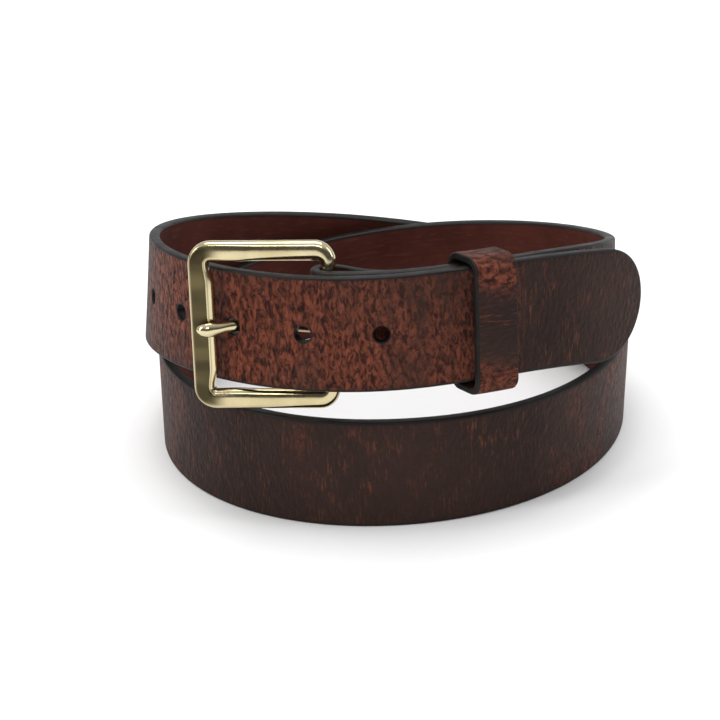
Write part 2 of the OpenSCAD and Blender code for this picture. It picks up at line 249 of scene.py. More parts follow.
def pull_up_leather(name):
    """Oiled, waxed grain leather: dark where it lies flat, red-brown where it is pulled and worn."""
    r = Recipe(name)
    flat = r.lie(1.0, 1.0, 1.0)
    cloud = r.noise(r.lie(1.0, 0.4, 1.0), 46.0, 4.0, 0.6, 0.8)
    patch = r.noise(r.lie(1.0, 0.8, 1.0), 12.0, 2.0)
    tone = r.sum("MULTIPLY_ADD", cloud, 2.6, r.sum("MULTIPLY_ADD", patch, 0.9, -1.75))
    pull = r.span(r.sum("ADD", tone, r.worn()), 0.1, 1.15)

    # pebbled grain: flattened pebbles, a little taller than wide, leaning along the pull
    slant = r.node("ShaderNodeMapping", {
        "Vector": flat, "Rotation": GRAIN_LEAN, "Scale": GRAIN_SQUASH}).outputs["Vector"]
    drift = r.node("ShaderNodeTexNoise", {
        "Vector": slant, "Scale": 520.0, "Detail": 2.0}).outputs["Color"]
    bent = r.node("ShaderNodeVectorMath", {0: drift, 1: GRAIN_WANDER}, operation="MULTIPLY_ADD")
    r.put(bent.inputs[2], slant)
    pebble = r.cells(bent.outputs["Vector"], PEBBLES)
    crease = r.span(pebble, 0.35, 0.75)
    furrow = r.noise(slant, FURROWS, 5.0, 0.68, 0.7)
    pores = r.noise(slant, PORES, 3.0, 0.6)
    vein = r.noise(r.lie(1.0, 0.14, 1.0), 1150.0, 4.0, 0.7, 0.35)
    sparse = r.noise(r.lie(1.0, 0.5, 1.0), 120.0, 3.0, 0.6)

    dark = r.blend(r.span(patch, 0.35, 0.65), WAX_BLACK, WAX_BROWN)
    red = r.blend(r.span(furrow, 0.38, 0.6), PULLED_DEEP, PULLED_RED)
    body = r.blend(pull, dark, red)
    fleck = r.sum("MULTIPLY", r.span(vein, 0.52, 0.66), r.span(sparse, 0.42, 0.62))
    body = r.blend(r.sum("MULTIPLY", fleck, 0.6), body, FLECK_RED)
    pit = r.sum("MULTIPLY", crease, r.sum("MULTIPLY_ADD", pull, 0.45, 0.12))
    body = r.blend(pit, body, PIT_BLACK)
    body = r.blend(r.sum("MULTIPLY", dark_edge(r, flat, GRAIN_EDGE), 0.6), body, EDGE_BLACK)

    depth = r.sum("MULTIPLY_ADD", pull, 0.75, 0.25)
    heap = r.sum("MULTIPLY_ADD", furrow, 0.9, r.sum("MULTIPLY", pebble, -1.0))
    grain = r.sum("MULTIPLY", heap, depth)
    r.relief((grain, GRAIN_DEPTH), (pores, PORE_DEPTH), (cloud, SWELL_DEPTH))
    gloss = r.span(furrow, 0.3, 0.7, 0.6, 0.44)
    return r.finish(Base_Color=body, Roughness=gloss, Specular_IOR_Level=0.12)


# the flesh side's colours and relief
FLESH_DARK, FLESH_RED, FIBRE_PALE = shade("3e1c16"), shade("512820"), shade("74453a")
NAP_DARK, FLESH_EDGE_DARK = shade("38201b"), shade("241a19")
NAP_DEPTH, FLESH_SWELL = 0.00007, 0.0003


def flesh_side(name):
    """The smooth, dyed back of the leather with its fine nap."""
    r = Recipe(name)
    flat = r.lie(1.0, 1.0, 1.0)
    cloud = r.noise(flat, 28.0, 3.0, 0.6)
    nap = r.noise(r.lie(0.5, 1.0, 1.0), 2400.0, 3.0, 0.7)
    fibre = r.noise(r.lie(0.15, 1.0, 1.0), 900.0, 3.0, 0.6, 0.5)
    body = r.blend(r.span(cloud, 0.3, 0.7), FLESH_DARK, FLESH_RED)
    body = r.blend(r.sum("MULTIPLY", r.span(fibre, 0.5, 0.75), 0.25), body, FIBRE_PALE)
    body = r.blend(r.sum("MULTIPLY", r.span(nap, 0.55, 0.35), 0.3), body, NAP_DARK)
    body = r.blend(r.sum("MULTIPLY", dark_edge(r, flat, FLESH_EDGE), 0.7), body, FLESH_EDGE_DARK)
    r.relief((nap, NAP_DEPTH), (cloud, FLESH_SWELL))
    return r.finish(Base_Color=body, Roughness=0.8, Specular_IOR_Level=0.1)


# the edge paint's colours and relief
PAINT_BLACK, PAINT_BROWN, PAINT_RUBBED = shade("0e0c0b"), shade("1c1816"), shade("33292a")
CUT_DEPTH, RUB_DEPTH = 0.00008, 0.0001


def edge_paint(name):
    """Burnished black edge with the cut layers just showing through."""
    r = Recipe(name)
    layers = r.noise(r.lie(0.05, 1.0, 1.0), 1800.0, 3.0, 0.6)
    rub = r.noise(r.lie(1.0, 1.0, 1.0), 160.0, 3.0, 0.6)
    body = r.blend(r.span(layers, 0.3, 0.7), PAINT_BLACK, PAINT_BROWN)
    body = r.blend(r.sum("MULTIPLY", r.span(rub, 0.58, 0.72), 0.5), body, PAINT_RUBBED)
    r.relief((layers, CUT_DEPTH), (rub, RUB_DEPTH))
    return r.finish(Base_Color=body, Roughness=r.span(rub, 0.3, 0.7, 0.42, 0.55),
                    Specular_IOR_Level=0.2)


# the brass's tones, its gloss and the depth of its brush lines and scuffs; the satin face's dark tone
# is a painted dark reflection, not a colour of the brass
CAST_TONE, CAST_GLOSS = shade("d8cba4"), 0.13
TURNED_TONE, TURNED_GLOSS = shade("bda368"), 0.22
TARNISH, PAINTED_DARK_REFLECTION, STREAK_TONE = shade("bdae84"), shade("3a3220"), shade("a8986a")
SCUFF_DULLS, BRUSH_DULLS = 0.07, 0.17
BRUSH_DEPTH, SCUFF_DEPTH = 0.000018, 0.00003


def cast_brass(name, tone, roughness):
    """Pale solid brass, polished; where its attribute marks the satin face it is rougher and painted
    dark, a painted reflection, with random paler streaks.
    """
    r = Recipe(name)
    satin_and_painted_dark = r.node("ShaderNodeAttribute", {}, attribute_name="satin_and_painted_dark").outputs["Fac"]
    stroke = r.noise(r.lie(0.03, 1.0, 1.0), 3600.0, 3.0, 0.7)
    drift = r.noise(r.lie(1.0, 0.3, 1.0), 75.0, 2.0, 0.5)
    scuff = r.noise(r.room(1, 1, 1), 210.0, 4.0, 0.6, 0.8)
    tarnish = r.noise(r.room(1, 1, 1), 60.0, 3.0, 0.6)
    body = r.blend(r.span(tarnish, 0.3, 0.75), tone, TARNISH)
    # painted reflection: the satin face is painted dark, standing for the dark surroundings it
    # reflects; paler random streaks along the bar break up that painted dark
    body = r.blend(r.sum("MULTIPLY", satin_and_painted_dark, 0.96), body, PAINTED_DARK_REFLECTION)
    streak = r.sum("MULTIPLY", r.sum("MULTIPLY", r.span(drift, 0.4, 0.65), satin_and_painted_dark), 0.3)
    body = r.blend(streak, body, STREAK_TONE)
    polish = r.span(scuff, 0.35, 0.75, roughness, roughness + SCUFF_DULLS)
    gloss = r.sum("MULTIPLY_ADD", satin_and_painted_dark, BRUSH_DULLS, polish)
    lines = r.sum("MULTIPLY", r.span(stroke, 0.3, 0.7), satin_and_painted_dark)
    r.relief((lines, BRUSH_DEPTH), (scuff, SCUFF_DEPTH))
    return r.finish(Base_Color=body, Metallic=1.0, Roughness=gloss)


WIRE_GREY, WIRE_PALE = shade("8f8e8a"), shade("b4b3ae")
WIRE_DEPTH = 0.00002


def staple_wire(name):
    r = Recipe(name)
    scuff = r.noise(r.room(1, 1, 1), 900.0, 3.0, 0.6)
    body = r.blend(scuff, WIRE_GREY, WIRE_PALE)
    r.relief((scuff, WIRE_DEPTH))
    return r.finish(Base_Color=body, Metallic=1.0, Roughness=r.span(scuff, 0.3, 0.7, 0.3, 0.45))


# ---------------------------------------------------------------- making pieces


# a micrometre, and how many of them an axis is numbered with
PLACE_STEP, PLACES = 1e-6, 200000


def by_place(element):
    """Numbers a vertex, edge or face by where it lies, so that its order is the same each run."""
    corners = [element] if isinstance(element, bmesh.types.BMVert) else element.verts
    number = 0
    for axis in range(3):
        place = sum(v.co[axis] for v in corners) / len(corners)
        number = number * PLACES + round(place / PLACE_STEP) + PLACES // 2
    return number


def finish_piece(bm, name, materials):
    """Turns a bmesh into a smooth-shaded object at the origin with its materials."""
    for elements in (bm.verts, bm.edges, bm.faces):
        elements.sort(key=by_place)
    for face in bm.faces:
        face.smooth = True
    mesh = bpy.data.meshes.new(name)
    bm.to_mesh(mesh)
    bm.free()
    for material in materials:
        mesh.materials.append(material)
    piece = bpy.data.objects.new(name, mesh)
    bpy.context.collection.objects.link(piece)
    return piece


ROUNDING = 1e-6


def steps(low, high, longest):
    """Even stops from low up to but not counting high, no further apart than longest."""
    count = max(1, math.ceil((high - low) / longest - ROUNDING))
    return [low + (high - low) * k / count for k in range(count)]


def stops_between(marks, longest):
    """Stops through all the marks, with even steps between them; longest may depend on the place."""
    stops = []
    for low, high in zip(marks, marks[1:]):
        stops += steps(low, high, longest(0.5 * (low + high)))
    return stops + [marks[-1]]


RIM_TURNS = 4
# material slots of a blank; the grain side's is 0
FLESH, RIM = 1, 2
TIP_COLUMNS = 12
# vertices closer than this, in metres, are one
TOUCHING = 1e-7


class Blank:
    """A flat leather blank: tip rounded, holes punched and edges rounded, then bent to its place."""

    def __init__(self, stops, rows, half_t, edge, round_tip=False):
        self.bm = bm = bmesh.new()
        self.base = bm.verts.layers.float_vector.new("base")
        self.out = bm.verts.layers.float_vector.new("out")
        self.punched = bm.verts.layers.int.new("punched")
        self.worn = bm.verts.layers.float.new("worn")
        self.lie = bm.loops.layers.uv.new("lie")
        self.half_t, self.edge, self.half_w = half_t, edge, rows[-1]
        self.start, self.end = stops[0], stops[-1]
        self.round_tip = round_tip
        reaches = [k / TIP_COLUMNS for k in range(1, TIP_COLUMNS + 1)] if round_tip else []
        last_column = len(stops) + len(reaches) - 1
        last_row = len(rows) - 1
        bmesh.ops.create_grid(bm, x_segments=last_column, y_segments=last_row, size=1.0)
        for v in bm.verts:
            column = round((v.co.x + 1) / 2 * last_column)
            row = rows[round((v.co.y + 1) / 2 * last_row)]
            if column < len(stops):
                v.co = (stops[column], row, half_t)
            else:
                reach = reaches[column - len(stops)]
                share = row / self.half_w
                v.co = (self.end + self.half_w * reach * math.sqrt(1 - share * share / 2),
                        row * math.sqrt(1 - reach * reach / 2), half_t)

    def punch(self, start, end, radius, block, lip):
        """Cuts a hole, round or long, out of the block of squares that covers it."""
        bm = self.bm
        inside = [f for f in bm.faces
                  if start - block < f.calc_center_median().x < end + block
                  and abs(f.calc_center_median().y) < block]
        taken = set(inside)
        around = [e for f in inside for e in f.edges if any(g not in taken for g in e.link_faces)]
        bmesh.ops.delete(bm, geom=inside, context="FACES")
        made = bmesh.ops.extrude_edge_only(bm, edges=around)["geom"]
        for v in (g for g in made if isinstance(g, bmesh.types.BMVert)):
            middle = min(max(v.co.x, start), end)
            away = Vector((v.co.x - middle, v.co.y, 0.0)).normalized()
            v.co = Vector((middle, 0.0, self.half_t)) + away * (radius + lip)
            v[self.base] = v.co
            v[self.out] = -away * lip
            v[self.punched] = 1

    def mark_outline(self):
        """Gives every vertex on the outer outline the way in which its edge rounds over."""
        for v in self.bm.verts:
            if not v.is_boundary or v[self.punched]:
                continue
            away = Vector((0.0, 0.0, 0.0))
            if self.round_tip and v.co.x > self.end + TOUCHING:
                away = Vector((v.co.x - self.end, v.co.y, 0.0)).normalized()
            else:
                if abs(v.co.y) > self.half_w - TOUCHING:
                    away.y = math.copysign(1.0, v.co.y)
                if v.co.x < self.start + TOUCHING:
                    away.x = -1.0
                if not self.round_tip and v.co.x > self.end - TOUCHING:
                    away.x = 1.0
            v[self.base] = v.co
            v[self.out] = away * self.edge

    def thicken(self):
        """Adds the flesh side and joins it to the grain side with rounded rims."""
        bm, top = self.bm, self.half_t
        self.mark_outline()
        grain = list(bm.faces)
        copy = bmesh.ops.duplicate(bm, geom=grain + list(bm.verts) + list(bm.edges))["geom"]
        flesh = [g for g in copy if isinstance(g, bmesh.types.BMFace)]
        for v in (g for g in copy if isinstance(g, bmesh.types.BMVert)):
            v.co.z = -top
        for f in flesh:
            f.material_index = FLESH
        bmesh.ops.reverse_faces(bm, faces=flesh)
        ring = [e for e in bm.edges if e.is_boundary and e.verts[0].co.z > 0]
        turns = [math.pi / 2 * k / RIM_TURNS for k in range(1, RIM_TURNS + 1)]
        upper = [(math.sin(t), 1 - math.cos(t)) for t in turns]
        path = [(reach, 1, drop) for reach, drop in upper]
        path += [(reach, -1, drop) for reach, drop in reversed([(0.0, 0.0)] + upper)]
        for reach, side, drop in path:
            made = bmesh.ops.extrude_edge_only(bm, edges=ring)["geom"]
            ring = [g for g in made if isinstance(g, bmesh.types.BMEdge)]
            for v in (g for g in made if isinstance(g, bmesh.types.BMVert)):
                v.co = v[self.base] + v[self.out] * reach
                v.co.z = side * (top - v[self.out].length * drop)
            for f in (g for g in made if isinstance(g, bmesh.types.BMFace)):
                f.material_index = RIM
        bmesh.ops.remove_doubles(bm, verts=bm.verts, dist=TOUCHING)

    def draw_lie(self):
        """Writes each point's place on the flat blank, in metres, as the piece's own map."""
        for f in self.bm.faces:
            for loop in f.loops:
                v = loop.vert
                spot = v.co.xy
                if f.material_index == RIM:
                    spot = spot + v[self.out].xy.normalized() * (self.half_t - v.co.z)
                loop[self.lie].uv = spot

    def bend(self, place, wear, name, materials):
        """Moves every point to its place on the bent piece and returns the finished object."""
        self.thicken()
        self.draw_lie()
        for v in self.bm.verts:
            v[self.worn] = wear(v.co)
            v.co = place(v.co)
        layers = self.bm.verts.layers
        layers.int.remove(layers.int["punched"])
        layers.float_vector.remove(layers.float_vector["base"])
        layers.float_vector.remove(layers.float_vector["out"])
        bmesh.ops.recalc_face_normals(self.bm, faces=self.bm.faces)
        return finish_piece(self.bm, name, materials)


# ---------------------------------------------------------------- the strap's route

STRAP_W, STRAP_T, FLAP_T = 38 * MM, 3.6 * MM, 2.6 * MM
# how much further out the second turn lies, and its first control value
PLY = 5.1
SECOND_TURN = 11
# control values along the coil, in millimetres and degrees, one every ROUTE_STEP degrees
ROUTE_FROM, ROUTE_STEP = -90.0, 45.0
ROUTE_R = (78.5, 71, 66.5, 68.5, 76, 82, 84.5, 84, 80.5, 74.5, 67.5,
           65, 73, 85.5, 90.5, 87.5, 78.5, 71, 66.5, 68.5, 92, 137)
ROUTE_Z = (48, 48.5, 50, 50, 29, 13, 4, 0, 0, 0, 0,
           0, 0, 0, 5, 21, 41, 49, 50.5, 52, 28, -11)
ROUTE_LEAN = (-3, -6, -7, -5, 0, 2, 2, 0, -1, -1, 0,
              6, 4, -3, -7, -8, -7, -6, -7, -5, -2, 1)
RADII = [r + (0 if k < SECOND_TURN else PLY) for k, r in enumerate(ROUTE_R)]
OFF_CENTRE = mm(-1.5, 10.8, 0)
# angles round the coil, in degrees, of what sits on the strap
PIVOT_A, FRONT_BAR_A, PRONG_HOLE_A = -18.4, 671.8, 677.8
KEEPER_A, FLAP_END_A, TIP_A = 23.5, 46.0, 786.5
# the strap's thickness is level up to where its lower edge has risen this far
LIFTED = 10 * MM


def follow(values, a):
    """A smooth value along the route, from four neighbouring control values."""
    u = (a - ROUTE_FROM) / ROUTE_STEP
    k = math.floor(u)
    f = u - k
    return (values[k - 1] * (1 - f) ** 3 + values[k] * (3 * f ** 3 - 6 * f * f + 4)
            + values[k + 1] * (-3 * f ** 3 + 3 * f * f + 3 * f + 1) + values[k + 2] * f ** 3) / 6


def foot(a):
    """The middle of the strap's lower edge at an angle round the coil."""
    r, turn = follow(RADII, a), math.radians(a)
    return mm(r * math.sin(turn), -r * math.cos(turn), follow(ROUTE_Z, a)) - OFF_CENTRE


def pace(a):
    """How far the strap goes in one degree."""
    return (foot(a + 0.5) - foot(a - 0.5)).length


def along(a):
    """The strap's own direction."""
    return (foot(a + 0.5) - foot(a - 0.5)).normalized()


def level_out(a):
    t = along(a)
    return Vector((t.y, -t.x, 0.0)).normalized()


def tall(a):
    """The strap's width direction, upwards and leaning."""
    out, lean = level_out(a), math.radians(follow(ROUTE_LEAN, a))
    return out.cross(along(a)) * math.cos(lean) + out * math.sin(lean)


def outward(a):
    return along(a).cross(tall(a))


def middle(a):
    return foot(a) + tall(a) * (STRAP_W / 2)


def thick_way(a):
    """The strap's thickness direction, level where its lower edge rests."""
    share = min(1.0, follow(ROUTE_Z, a) * MM / LIFTED)
    return (level_out(a) * (1 - share) + outward(a) * share).normalized()


def ease(x):
    """A smooth rise from 0 to 1 while x goes from 0 to 1."""
    x = min(max(x, 0.0), 1.0)
    return x * x * (3 - 2 * x)


PIVOT_R, FOLD_R = 2.5 * MM, 2.75 * MM
PIVOT_T, PIVOT_Y, PIVOT_N = along(PIVOT_A), tall(PIVOT_A), outward(PIVOT_A)
PIVOT_C = middle(PIVOT_A) - PIVOT_N * (STRAP_T / 2 + FOLD_R)
KEEPER_BACK_T, KEEPER_GAP, KEEPER_W = 1.8 * MM, 0.45 * MM, 14 * MM
FLAP_GAP = 0.4 * MM
FLAP_SETTLE = 16.0
BULGE_RAMP, BULGE_FLAT = 6 * MM, 9 * MM
BULGE = KEEPER_BACK_T + 2 * KEEPER_GAP - FLAP_GAP
FLAP_OFFSET = FLAP_GAP + STRAP_T / 2 + FLAP_T / 2
FOLD_OFFSET = 2 * FOLD_R + STRAP_T / 2 + FLAP_T / 2


def flap_in(a):
    """How far the flap's middle lies inside the main layer's middle."""
    settled = ease((a - PIVOT_A) / FLAP_SETTLE)
    off_keeper = abs(a - KEEPER_A) * pace(KEEPER_A)
    return (FLAP_OFFSET + (FOLD_OFFSET - FLAP_OFFSET) * (1 - settled)
            + BULGE * ease((KEEPER_W / 2 + BULGE_FLAT - off_keeper) / BULGE_RAMP))


# length of the main layer from the pivot bar, degree by degree to a little past the tip
PAST_TIP = 3
LENGTHS = [0.0]
while PIVOT_A + len(LENGTHS) <= TIP_A + PAST_TIP:
    LENGTHS.append(LENGTHS[-1] + pace(PIVOT_A + len(LENGTHS) - 0.5))


def length_at(a):
    """Length of the main layer from the pivot bar to an angle."""
    k = min(int(a - PIVOT_A), len(LENGTHS) - 2)
    return LENGTHS[k] + (a - PIVOT_A - k) * (LENGTHS[k + 1] - LENGTHS[k])


def angle_at(length):
    """The angle at which the main layer has come this far from the pivot bar."""
    low, high = 0, len(LENGTHS) - 2
    while low < high:
        half = (low + high + 1) // 2
        if LENGTHS[half] <= length:
            low = half
        else:
            high = half - 1
    return PIVOT_A + low + (length - LENGTHS[low]) / (LENGTHS[low + 1] - LENGTHS[low])


# on the flat strap: the flap from 0 to FLAP_L, then the fold, then the main layer
FLAP_L = length_at(FLAP_END_A)
FOLD_L = math.pi * (FOLD_R + (STRAP_T + FLAP_T) / 4)
MAIN_FROM = FLAP_L + FOLD_L
STRAP_EDGE = 0.8 * MM
FLAP_TRIM = 3 * MM
held_sections = {}


def section(x):
    """Foot, thickness direction, width direction and half thickness at a place on the flat strap."""
    if x in held_sections:
        return held_sections[x]
    if x < FLAP_L:
        a = FLAP_END_A + (PIVOT_A - FLAP_END_A) * x / FLAP_L
        found = (foot(a) - outward(a) * flap_in(a), -outward(a), tall(a), FLAP_T / 2)
    elif x < MAIN_FROM:
        share = (x - FLAP_L) / FOLD_L
        turn = math.radians(270 - 180 * share)
        way = PIVOT_T * math.cos(turn) + PIVOT_N * math.sin(turn)
        half = (FLAP_T + (STRAP_T - FLAP_T) * share) / 2
        found = (PIVOT_C - PIVOT_Y * (STRAP_W / 2) + way * (FOLD_R + half), way, PIVOT_Y, half)
    else:
        a = angle_at(x - MAIN_FROM)
        found = (foot(a), thick_way(a), tall(a), STRAP_T / 2)
    held_sections[x] = found
    return found


HOLE_R, HOLE_PITCH, HOLE_LIP = 2.65 * MM, 25.4, 0.45 * MM
HOLE_BLOCK = 4 * MM
# the strap's pace is taken half way to each hole, at about this many degrees a hole
HALF_WAY = 10
HOLE_XS = []
for number in (-2, -1, 0, 1, 2):
    hole_a = PRONG_HOLE_A + number * HOLE_PITCH * MM / pace(PRONG_HOLE_A + number * HALF_WAY)
    HOLE_XS.append(MAIN_FROM + length_at(hole_a))
DISH_DEPTH, DISH_REACH = 0.28 * MM, 1.5 * MM
SLOT_R, SLOT_REACH, SLOT_BLOCK, SLOT_LIP = 4.5 * MM, 8 * MM, 5 * MM, 0.2 * MM


def hole_gap(flat):
    """Distance from a place on the flat strap to the nearest punched hole's wall."""
    return min(math.hypot(flat.x - x, flat.y) for x in HOLE_XS) - HOLE_R


def place_on_strap(flat):
    where, way, up, half = section(flat.x)
    height = flat.z
    if height > 0 and flat.x > MAIN_FROM:
        height -= DISH_DEPTH * math.exp(-max(hole_gap(flat), 0.0) / DISH_REACH)
    trimmed = FLAP_TRIM * max(0.0, 1 - flat.x / FLAP_L) * (flat.y / STRAP_W + 0.5)
    return where + up * (STRAP_W / 2 + flat.y - trimmed) + way * (height * half * 2 / STRAP_T)


# how pulled and worn the grain is, by angle round the coil
WEAR = ((-40, 0.75), (0, 0.7), (60, 0.5), (110, 0.35), (200, 0.3), (285, 0.25), (320, 0.1),
        (350, 0.0), (395, 0.02), (420, 0.15), (450, 0.25), (520, 0.3), (590, 0.4), (630, 0.45),
        (655, 0.7), (675, 0.95), (690, 1.0), (715, 0.9), (735, 0.55), (750, 0.2), (765, -0.1),
        (800, -0.5))
HOLE_WEAR, HOLE_WEAR_REACH = 0.35, 4 * MM


def between(table, x):
    """A value between a table's rows."""
    for (x0, y0), (x1, y1) in zip(table, table[1:]):
        if x <= x1:
            return y0 + (y1 - y0) * max(0.0, (x - x0) / (x1 - x0))
    return table[-1][1]


def strap_wear(flat):
    if flat.x < MAIN_FROM:
        return between(WEAR, PIVOT_A)
    near_hole = math.exp(-max(hole_gap(flat), 0.0) / HOLE_WEAR_REACH)
    return min(1.0, between(WEAR, angle_at(flat.x - MAIN_FROM)) + HOLE_WEAR * near_hole)


# the squares of the strap's blank: their length near holes and elsewhere, and their rows
FINE, COARSE = 1.0 * MM, 2.2 * MM
STRAP_ROWS = (1, 2, 3, 4, 5, 7.6, 10.2, 12.8, 15.4)


def make_strap(materials):
    tip_from = MAIN_FROM + length_at(TIP_A) - STRAP_W / 2
    slot_from, slot_to = FLAP_L - SLOT_REACH, MAIN_FROM + SLOT_REACH
    marks = [STRAP_EDGE, slot_from - FINE, slot_to + FINE]
    for x in HOLE_XS:
        marks += [x - HOLE_BLOCK, x + HOLE_BLOCK]
    marks.append(tip_from)

    def longest(x):
        by_slot = slot_from - FINE < x < slot_to + FINE
        by_hole = hole_gap(Vector((x, 0.0, 0.0))) < HOLE_BLOCK - HOLE_R
        return FINE if by_slot or by_hole else COARSE

    half_rows = [y * MM for y in STRAP_ROWS] + [STRAP_W / 2 - STRAP_EDGE]
    rows = [-y for y in reversed(half_rows)] + [0.0] + half_rows
    blank = Blank(stops_between(marks, longest), rows, STRAP_T / 2, STRAP_EDGE, round_tip=True)
    blank.punch(slot_from + SLOT_R, slot_to - SLOT_R, SLOT_R - SLOT_LIP, SLOT_BLOCK, SLOT_LIP)
    for x in HOLE_XS:
        blank.punch(x, x, HOLE_R, HOLE_BLOCK, HOLE_LIP)
    piece = blank.bend(place_on_strap, strap_wear, "dressed_strap", materials)
    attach(piece, "belt")
    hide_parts("strap")


# ---------------------------------------------------------------- the keeper

# the keeper follows the coil's own bend, taken this many degrees either way
BEND_SPAN = 8
bend_turn = along(KEEPER_A - BEND_SPAN).angle(along(KEEPER_A + BEND_SPAN))
bend_chord = (foot(KEEPER_A + BEND_SPAN) - foot(KEEPER_A - BEND_SPAN)).length
BEND_R = bend_chord / (2 * math.sin(bend_turn / 2))
BEND_C = middle(KEEPER_A) - outward(KEEPER_A) * BEND_R
KEEPER_T, KEEPER_SLACK, KEEPER_PLAY = 2.4 * MM, 2.2 * MM, 1.5 * MM
KEEPER_SKEW = math.radians(11)
KEEPER_IN_R, KEEPER_SEAM, KEEPER_EDGE = 2.6 * MM, 0.4 * MM, 0.5 * MM
IN_X0 = BEND_R - STRAP_T / 2 - KEEPER_GAP
IN_X1 = BEND_R + PLY * MM + STRAP_T / 2 + KEEPER_SLACK
IN_HALF_H = STRAP_W / 2 + KEEPER_PLAY
OUT_MID = (IN_X0 - KEEPER_BACK_T + IN_X1 + KEEPER_T) / 2
SIDE_RUN = IN_HALF_H - KEEPER_IN_R
END_RUN = IN_X1 - IN_X0 - 2 * KEEPER_IN_R
CORNER_RUN = math.pi / 2 * KEEPER_IN_R
# straight and curved runs round the keeper's inside, from the seam in its back wall
KEEPER_RUNS = ((SIDE_RUN, 0), (CORNER_RUN, 1), (END_RUN, 0), (CORNER_RUN, 1), (2 * SIDE_RUN, 0),
               (CORNER_RUN, 1), (END_RUN, 0), (CORNER_RUN, 1), (SIDE_RUN, 0))
KEEPER_L = sum(run for run, _ in KEEPER_RUNS)
KEEPER_STEP, KEEPER_ROWS = 0.7 * MM, 5
# the keeper is worn toward its upper and lower turns
KEEPER_WORN, WORN_FROM, WORN_RUN = 0.6, 0.35, 0.5


def keeper_wall(x):
    """Place on the keeper's inner wall and the way out of it, in its own section."""
    spot = Vector((IN_X0, 0.0))
    turn = math.pi / 2
    for run, curved in KEEPER_RUNS:
        part = min(x, run)
        way = Vector((math.cos(turn), math.sin(turn)))
        left = Vector((-way.y, way.x))
        if curved:
            swing = part / KEEPER_IN_R
            spot = spot - left * KEEPER_IN_R + (
                left * math.cos(swing) + way * math.sin(swing)) * KEEPER_IN_R
            turn -= swing
        else:
            spot = spot + way * part
        x -= part
        if x <= 0:
            break
    return spot, Vector((-math.sin(turn), math.cos(turn)))


def place_on_keeper(flat):
    spot, out = keeper_wall(flat.x)
    wall = KEEPER_T - (KEEPER_T - KEEPER_BACK_T) * max(0.0, -out.x) ** 2
    spot = spot + out * (wall * (0.5 + flat.z / KEEPER_T))
    side = (spot.x - OUT_MID) * math.tan(KEEPER_SKEW) + flat.y / math.cos(KEEPER_SKEW)
    reach = math.sqrt(spot.x ** 2 - side ** 2)
    return BEND_C + outward(KEEPER_A) * reach + along(KEEPER_A) * side + tall(KEEPER_A) * spot.y


def keeper_wear(flat):
    spot, _ = keeper_wall(flat.x)
    return KEEPER_WORN * ease((abs(spot.y) / IN_HALF_H - WORN_FROM) / WORN_RUN)


def make_keeper(materials):
    half_w = KEEPER_W / 2 - KEEPER_EDGE
    rows = [half_w * k / KEEPER_ROWS for k in range(-KEEPER_ROWS, KEEPER_ROWS + 1)]
    ends = KEEPER_SEAM / 2 + KEEPER_EDGE
    stops = stops_between([ends, KEEPER_L - ends], lambda x: KEEPER_STEP)
    blank = Blank(stops, rows, KEEPER_T / 2, KEEPER_EDGE)
    piece = blank.bend(place_on_keeper, keeper_wear, "dressed_keeper", materials)
    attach(piece, "loop")
    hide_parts("keeper")


# ---------------------------------------------------------------- the buckle

BAR_W, BAR_T, FRONT_EXTRA = 6.6 * MM, 4.5 * MM, 1.4 * MM
PIVOT_PLACE = Matrix((
    (-PIVOT_T.x, -PIVOT_Y.x, PIVOT_N.x, PIVOT_C.x), (-PIVOT_T.y, -PIVOT_Y.y, PIVOT_N.y, PIVOT_C.y),
    (-PIVOT_T.z, -PIVOT_Y.z, PIVOT_N.z, PIVOT_C.z), (0.0, 0.0, 0.0, 1.0)))
BAR_GAP, BUCKLE_PLAY = 0.45 * MM, 2.6 * MM
BAR_SEAT = STRAP_T / 2 + BAR_GAP + BAR_T / 2
bar_chord = (middle(FRONT_BAR_A) + outward(FRONT_BAR_A) * BAR_SEAT - PIVOT_C).normalized()
bar_dip = (BAR_W / 2 + FRONT_EXTRA) * math.sqrt(1 - bar_chord.dot(along(FRONT_BAR_A)) ** 2)
front_bar = middle(FRONT_BAR_A) + outward(FRONT_BAR_A) * (BAR_SEAT + bar_dip) - PIVOT_C
front_x, front_z = -front_bar.dot(PIVOT_T), front_bar.dot(PIVOT_N)
BAR_D = math.hypot(front_x, front_z)
FRAME_PLACE = PIVOT_PLACE @ Matrix.Rotation(-math.atan2(front_z, front_x), 4, "Y")
SIDE_Y = STRAP_W / 2 + BUCKLE_PLAY + BAR_W / 2
BEND_MID = 4.1 * MM

# the front bar's section, from its outer side over the face, groove and inner bevel to the back
FRONT_SECTION = (
    (3.3, 0.0), (3.3, 0.8), (3.24, 1.4), (3.06, 1.8), (2.75, 2.07), (2.35, 2.21), (1.8, 2.25),
    (0.8, 2.25), (-0.2, 2.25), (-1.2, 2.25), (-1.98, 2.25), (-2.14, 2.2), (-2.26, 1.98),
    (-2.42, 1.92), (-2.58, 2.0), (-2.74, 2.06), (-3.1, 1.94), (-3.6, 1.6), (-4.1, 1.15),
    (-4.45, 0.75), (-4.66, 0.3), (-4.7, 0.0), (-4.7, -0.9), (-4.56, -1.6), (-4.1, -2.05),
    (-3.4, -2.25), (-2.1, -2.25), (-0.8, -2.25), (0.6, -2.25), (2.0, -2.25), (2.8, -2.05),
    (3.16, -1.6), (3.3, -0.9))
FRONT_HALF_T, SIDE_HALF_W, SIDE_HALF_T, ROUND_R = 2.25, 3.3, 2.3, 2.5
FULLNESS = 0.82
# how far in the front bar reaches at its middle and at the corners, and the run between them
INNER_REACH, CORNER_REACH, REACH_RUN = 4.7, 3.3, 7
SECTION_OFF, SECTION_HALF_W = 0.7, 4.0
SIDE_STEPS, FRONT_STEPS, PIVOT_STEPS, CORNER_STEPS = 24, 48, 12, 10
